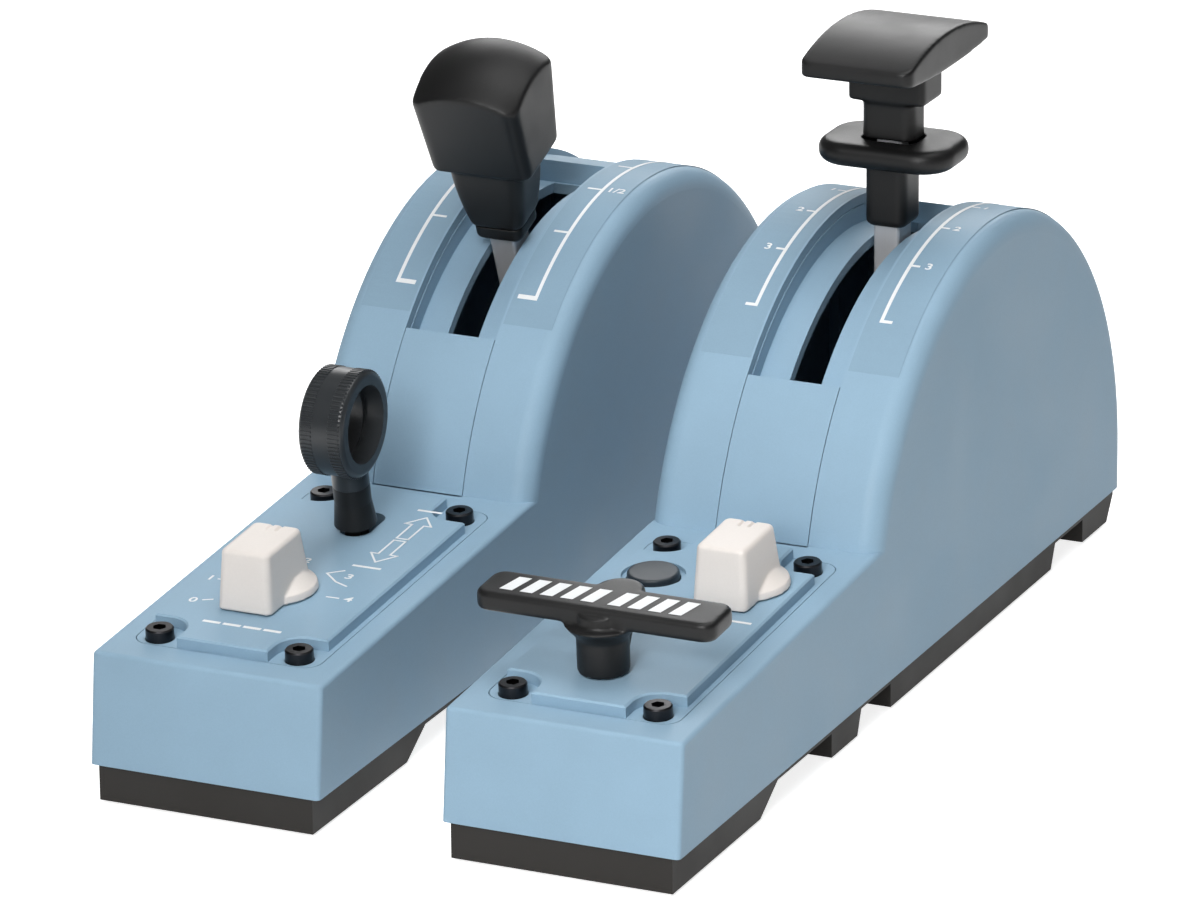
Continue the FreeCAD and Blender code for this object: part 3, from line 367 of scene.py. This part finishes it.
# ------------------------------------------------------------------ printed scales on the domes
# White screen print on both sides of each track: a line along the arc, ticks and plain
# numbers. Beneath it lies a slightly darker band, where the scale is painted on.
print_white = moulded_plastic("print_white", (0.80, 0.82, 0.83), 0.55, grain=0.1, grain_size=5200.0,
                              cloud=0.05, specular=0.3)
scale_blue = moulded_plastic("scale_blue", (0.236, 0.358, 0.462), 0.56, specular=0.24)
dome_radius = 86.3
dome_y = 202.0
dome_z = 20.95
print_film = 0.05
print_lift = 0.03
panel_film = 0.03
panel_lift = 0.01


def on_dome(side, x, angle, rise):
    """A place on the dome: across, up the arc from the front in degrees, and off the skin."""
    turn = math.radians(angle)
    reach = dome_radius + rise
    return in_module(side, x, dome_y - reach * math.cos(turn), dome_z + reach * math.sin(turn))


def print_piece(name, flats, to_place, finish, thick=print_film, low=print_lift):
    """Flat shapes in millimetres, each a list of outline points, laid on a surface as one film."""
    skin = bmesh.new()
    for outline in flats:
        under = [skin.verts.new(to_place(u, v, low)) for u, v in outline]
        over = [skin.verts.new(to_place(u, v, low + thick)) for u, v in outline]
        skin.faces.new(over)
        skin.faces.new(under[::-1])
        for i in range(len(outline)):
            j = (i + 1) % len(outline)
            skin.faces.new((under[i], under[j], over[j], over[i]))
    bmesh.ops.recalc_face_normals(skin, faces=skin.faces)
    shape = bpy.data.meshes.new(name)
    skin.to_mesh(shape)
    skin.free()
    shape.materials.append(finish)
    return in_scene(name, shape)


def arc_strip(x, width, start, end, step=1.5):
    """A strip along the dome's arc, cut into short flat pieces."""
    count = max(1, round((end - start) / step))
    angles = [start + (end - start) * i / count for i in range(count + 1)]
    return [((x - width / 2, a), (x + width / 2, a), (x + width / 2, b), (x - width / 2, b))
            for a, b in zip(angles, angles[1:])]


def cross_bar(x0, x1, angle, half):
    """A short bar across the dome at one angle, from x0 to x1."""
    return [((x0, angle - half), (x1, angle - half), (x1, angle + half), (x0, angle + half))]


def digit_faces(text, height, x, y, stretch=1.2):
    """A plain number as flat faces, centred on x, y."""
    type_size = height * 1.4
    boldness = 0.05
    curve = bpy.data.curves.new("digit", "FONT")
    curve.body = text
    curve.size = type_size
    curve.align_x = "CENTER"
    curve.align_y = "CENTER"
    curve.resolution_u = 3
    curve.offset = boldness
    flat = plain_copy(in_scene("digit", curve))
    spots = [(x + v.co.x * stretch, y + v.co.y) for v in flat.vertices]
    return [[spots[i] for i in face.vertices] for face in flat.polygons]


degree = math.pi * dome_radius / 180
line_width = 0.9
scale_end = 118.0
tick_half = 0.24
number_height = 2.5
number_stretch = 1.15
panel_centre = 20.0
panel_width = 13.6
panel_start = 47.0
panel_end = 150.0
panel_step = 2.0
scales = {
    "left": {"line": 19.4, "foot": 52.7, "foot_thick": 1.3, "foot_reach": 5.0,
             "ticks": (68.2, 82.4, 95.0), "tick_reach": 4.2, "numbers": ((82.6, "1/2", 23.0),)},
    "right": {"line": 17.0, "foot": 57.4, "foot_thick": 0.9, "foot_reach": -2.9,
              "ticks": (71.2, 84.5, 98.0), "tick_reach": -2.6,
              "numbers": ((71.4, "3", 21.9), (84.7, "2", 21.5), (98.2, "1", 21.1))},
}
for side, scale in scales.items():
    line = scale["line"]
    foot_half = math.degrees(scale["foot_thick"] / 2 / dome_radius)
    foot_root = line + math.copysign(line_width / 2, scale["foot_reach"])
    flats = []
    panels = []
    for hand in (-1, 1):
        flats += arc_strip(hand * line, line_width, scale["foot"], scale_end)
        for tick in scale["ticks"]:
            flats += cross_bar(hand * line, hand * (line - scale["tick_reach"]), tick, tick_half)
        foot_tip = line - scale["foot_reach"]
        flats += cross_bar(hand * foot_root, hand * foot_tip, scale["foot"], foot_half)
        for angle, text, across in scale["numbers"]:
            for face in digit_faces(text, number_height, 0.0, 0.0, number_stretch):
                flats += [[(hand * across + u, angle + v / degree) for u, v in face]]
        panels += arc_strip(hand * panel_centre, panel_width, panel_start, panel_end, panel_step)
    on_side = partial(on_dome, side)
    scale_print = print_piece(side + "_scale_print", flats, on_side, print_white,
                              low=print_lift + panel_film)
    scale_panel = print_piece(side + "_scale_panel", panels, on_side, scale_blue, panel_film, panel_lift)
    for piece, finish_slot in ((scale_print, "off_white_plastic"), (scale_panel, "blue_grey_plastic")):
        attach(piece, "root")

# ------------------------------------------------------------------ printed marks on the plates
# White marks on the control plates: two outline arrows beside the gear lever, numbers and
# ticks round the selector, and plain bars where the controls are named.
deck_angle = math.radians(3.74)
front_setback = 2.9
deck_start_height = 38.1
plate_top = 3.0


def on_deck(side, x, along, rise):
    """A place on the sloping deck: across, along the slope from its front edge, and off it."""
    y = front_setback + along * math.cos(deck_angle) - rise * math.sin(deck_angle)
    z = deck_start_height + along * math.sin(deck_angle) + rise * math.cos(deck_angle)
    return in_module(side, x, y, z)


def stroke(x0, y0, x1, y1, width):
    """A straight printed stroke."""
    long_way = Vector((x1 - x0, y1 - y0)).normalized() * width / 2
    across = Vector((-long_way.y, long_way.x))
    ends = (Vector((x0, y0)) - long_way, Vector((x1, y1)) + long_way)
    corners = (ends[0] - across, ends[1] - across, ends[1] + across, ends[0] + across)
    return [(c.x, c.y) for c in corners]


def outline_arrow(x, tail, tip, head_width, shaft_width, head_length, width):
    """An arrow drawn as an outline, from its tail to its tip along the deck."""
    way = 1 if tip > tail else -1
    neck = tip - way * head_length
    head = head_width / 2
    shaft = shaft_width / 2
    points = ((x - shaft, tail), (x - shaft, neck), (x - head, neck), (x, tip),
              (x + head, neck), (x + shaft, neck), (x + shaft, tail))
    return [stroke(*a, *b, width) for a, b in zip(points, points[1:] + points[:1])]


fine_line = 0.5
bold_line = 0.9
digit_height = 2.7
arrow = {"x": 13.4, "head_width": 7.2, "shaft_width": 3.2, "head_length": 5.0, "width": fine_line}
left_marks = outline_arrow(tail=80.6, tip=94.6, **arrow)
left_marks += outline_arrow(tail=79.2, tip=65.4, **arrow)
for start, end in (((9.6, 98.3), (15.4, 98.3)), ((9.4, 61.8), (16.2, 61.8))):
    left_marks += [stroke(*start, *end, bold_line)]
for text, x, along in (("3", 11.4, 55.0), ("4", 17.3, 42.5), ("1", -20.6, 43.0), ("0", -18.6, 29.6),
                       ("2", -2.9, 60.5)):
    left_marks += digit_faces(text, digit_height, x, along)
for start, end in (((5.2, 55.2), (8.6, 58.0)), ((5.2, 55.2), (9.6, 51.2)), ((9.6, 51.2), (13.2, 49.6)),
                   ((11.6, 42.3), (14.6, 42.4)), ((-16.6, 43.0), (-18.4, 43.0)),
                   ((-14.2, 31.4), (-16.2, 30.4))):
    left_marks += [stroke(*start, *end, fine_line)]
name_bar_along = 19.3
name_bar_length = 3.6
name_bar_width = 1.1
for x in (-10.0, -4.5, 1.0, 6.5):
    left_marks += [stroke(x, name_bar_along, x + name_bar_length, name_bar_along, name_bar_width)]
trim_bar_width = 1.0
right_marks = [stroke(15.6, 62.4, 20.6, 62.4, trim_bar_width)]
for side, flats in (("left", left_marks), ("right", right_marks)):
    marks = print_piece(side + "_plate_print", flats, partial(on_deck, side), print_white,
                        low=plate_top + print_lift)
    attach(marks, "root")

# ------------------------------------------------------------------ parking brake print
# Two groups of slanted white bars printed on top of the parking brake bar, in place of a
# word: bold blocks, as on a pull handle.
handle_height = 18.0
handle_top = plate_top + handle_height
bar_front = 24.4
bar_back = 32.2
bar_width = 3.3
bar_slant = 1.7
bar_pitch = 5.3
bars = []
for first, count in ((-27.2, 5), (1.0, 4)):
    for i in range(count):
        x = first + i * bar_pitch
        bars += [[(x, bar_front), (x + bar_width, bar_front),
                  (x + bar_width + bar_slant, bar_back), (x + bar_slant, bar_back)]]
handle_print = print_piece("park_brake_print", bars, partial(on_deck, "right"), print_white,
                           low=handle_top + print_lift)
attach(handle_print, "park_brake")

# ------------------------------------------------------------------ floor
# A matt sheet that runs out to white. Only the camera and mirrored rays see its glow, so
# it lights nothing itself.
floor_half = 6.0
floor_drop = 0.0004
floor_glow = 0.82
corners = [(-floor_half, -floor_half, 0), (floor_half, -floor_half, 0), (floor_half, floor_half, 0),
           (-floor_half, floor_half, 0)]
floor_mesh = bpy.data.meshes.new("floor")
floor_mesh.from_pydata(corners, [], [(0, 1, 2, 3)])
floor = in_scene("floor", floor_mesh)
floor.location.z = -floor_drop
paper = bpy.data.materials.new("floor_paper")
paper.use_nodes = True
tree = paper.node_tree
link = tree.links.new
shader = tree.nodes["Principled BSDF"]
shader.inputs["Base Color"].default_value = (0.8, 0.8, 0.8, 1)
shader.inputs["Roughness"].default_value = 0.9
shader.inputs["Specular IOR Level"].default_value = 0.0
glow = tree.nodes.new("ShaderNodeEmission")
glow.inputs["Strength"].default_value = floor_glow
dark = tree.nodes.new("ShaderNodeEmission")
dark.inputs["Strength"].default_value = 0.0
seen = tree.nodes.new("ShaderNodeLightPath")
seen_or_mirrored = tree.nodes.new("ShaderNodeMath")
seen_or_mirrored.operation = "MAXIMUM"
pick = tree.nodes.new("ShaderNodeMixShader")
both = tree.nodes.new("ShaderNodeAddShader")
link(seen.outputs["Is Camera Ray"], seen_or_mirrored.inputs[0])
link(seen.outputs["Is Glossy Ray"], seen_or_mirrored.inputs[1])
link(seen_or_mirrored.outputs[0], pick.inputs["Fac"])
link(dark.outputs[0], pick.inputs[1])
link(glow.outputs[0], pick.inputs[2])
link(shader.outputs[0], both.inputs[0])
link(pick.outputs[0], both.inputs[1])
link(both.outputs[0], tree.nodes["Material Output"].inputs["Surface"])
floor_mesh.materials.append(paper)

# ------------------------------------------------------------------ light
# A white room that is dim but for the camera, a broad soft light in front, a narrow one
# for the right module, and soft ones above and behind.
room_light = 0.12
world = bpy.data.worlds.new("studio")
bpy.context.scene.world = world
world.use_nodes = True
sky = world.node_tree.nodes["Background"]
sky.inputs["Color"].default_value = (1, 1, 1, 1)
path = world.node_tree.nodes.new("ShaderNodeLightPath")
level = world.node_tree.nodes.new("ShaderNodeMapRange")
level.inputs["To Min"].default_value = room_light
level.inputs["To Max"].default_value = 1.0
world.node_tree.links.new(path.outputs["Is Camera Ray"], level.inputs["Value"])
world.node_tree.links.new(level.outputs["Result"], sky.inputs["Strength"])


def soft_lamp(name, place, aim, size, power, spread=180):
    """A square soft box that faces its aim."""
    lamp = bpy.data.lights.new(name, "AREA")
    lamp.shape = "RECTANGLE"
    lamp.size, lamp.size_y = size
    lamp.energy = power
    lamp.spread = math.radians(spread)
    stand = in_scene(name, lamp)
    stand.location = place
    stand.rotation_euler = (Vector(aim) - Vector(place)).to_track_quat("-Z", "Y").to_euler()


soft_lamp("key_light", (0.12, -0.82, 0.88), aim=(0.06, -0.02, 0.06), size=(0.6, 0.5), power=5.7)
soft_lamp("right_light", (0.20, -0.95, 0.50), aim=(0.14, -0.08, 0.08), size=(0.35, 0.35), power=0.42,
          spread=45)
soft_lamp("top_light", (0.12, 0.15, 1.15), aim=(0.05, 0.05, 0.05), size=(0.8, 0.8), power=6.4)
soft_lamp("back_light", (-0.35, 1.15, 0.60), aim=(0.0, 0.08, 0.06), size=(0.7, 0.5), power=5.0)

# ------------------------------------------------------------------ camera
# A long lens from the front right, a little above the levers and very slightly rolled.
camera_place = (0.7883, -1.71565, 0.7162)
yaw, pitch, roll = (math.radians(a) for a in (24.897, 19.307, -0.629))
ahead = Vector((-math.sin(yaw) * math.cos(pitch), math.cos(yaw) * math.cos(pitch), -math.sin(pitch)))
right = Vector((math.cos(yaw), math.sin(yaw), 0))
above = right.cross(ahead)
right_rolled = right * math.cos(roll) + above * math.sin(roll)
above_rolled = above * math.cos(roll) - right * math.sin(roll)
lens = bpy.data.cameras.new("camera")
lens.sensor_width = 36.0
lens.lens = 237.995
lens.clip_end = 50.0
camera = in_scene("camera", lens)
turn = Matrix((right_rolled, above_rolled, -ahead)).transposed().to_4x4()
camera.matrix_world = Matrix.Translation(camera_place) @ turn
bpy.context.scene.camera = camera
bpy.context.scene.view_settings.view_transform = "Standard"
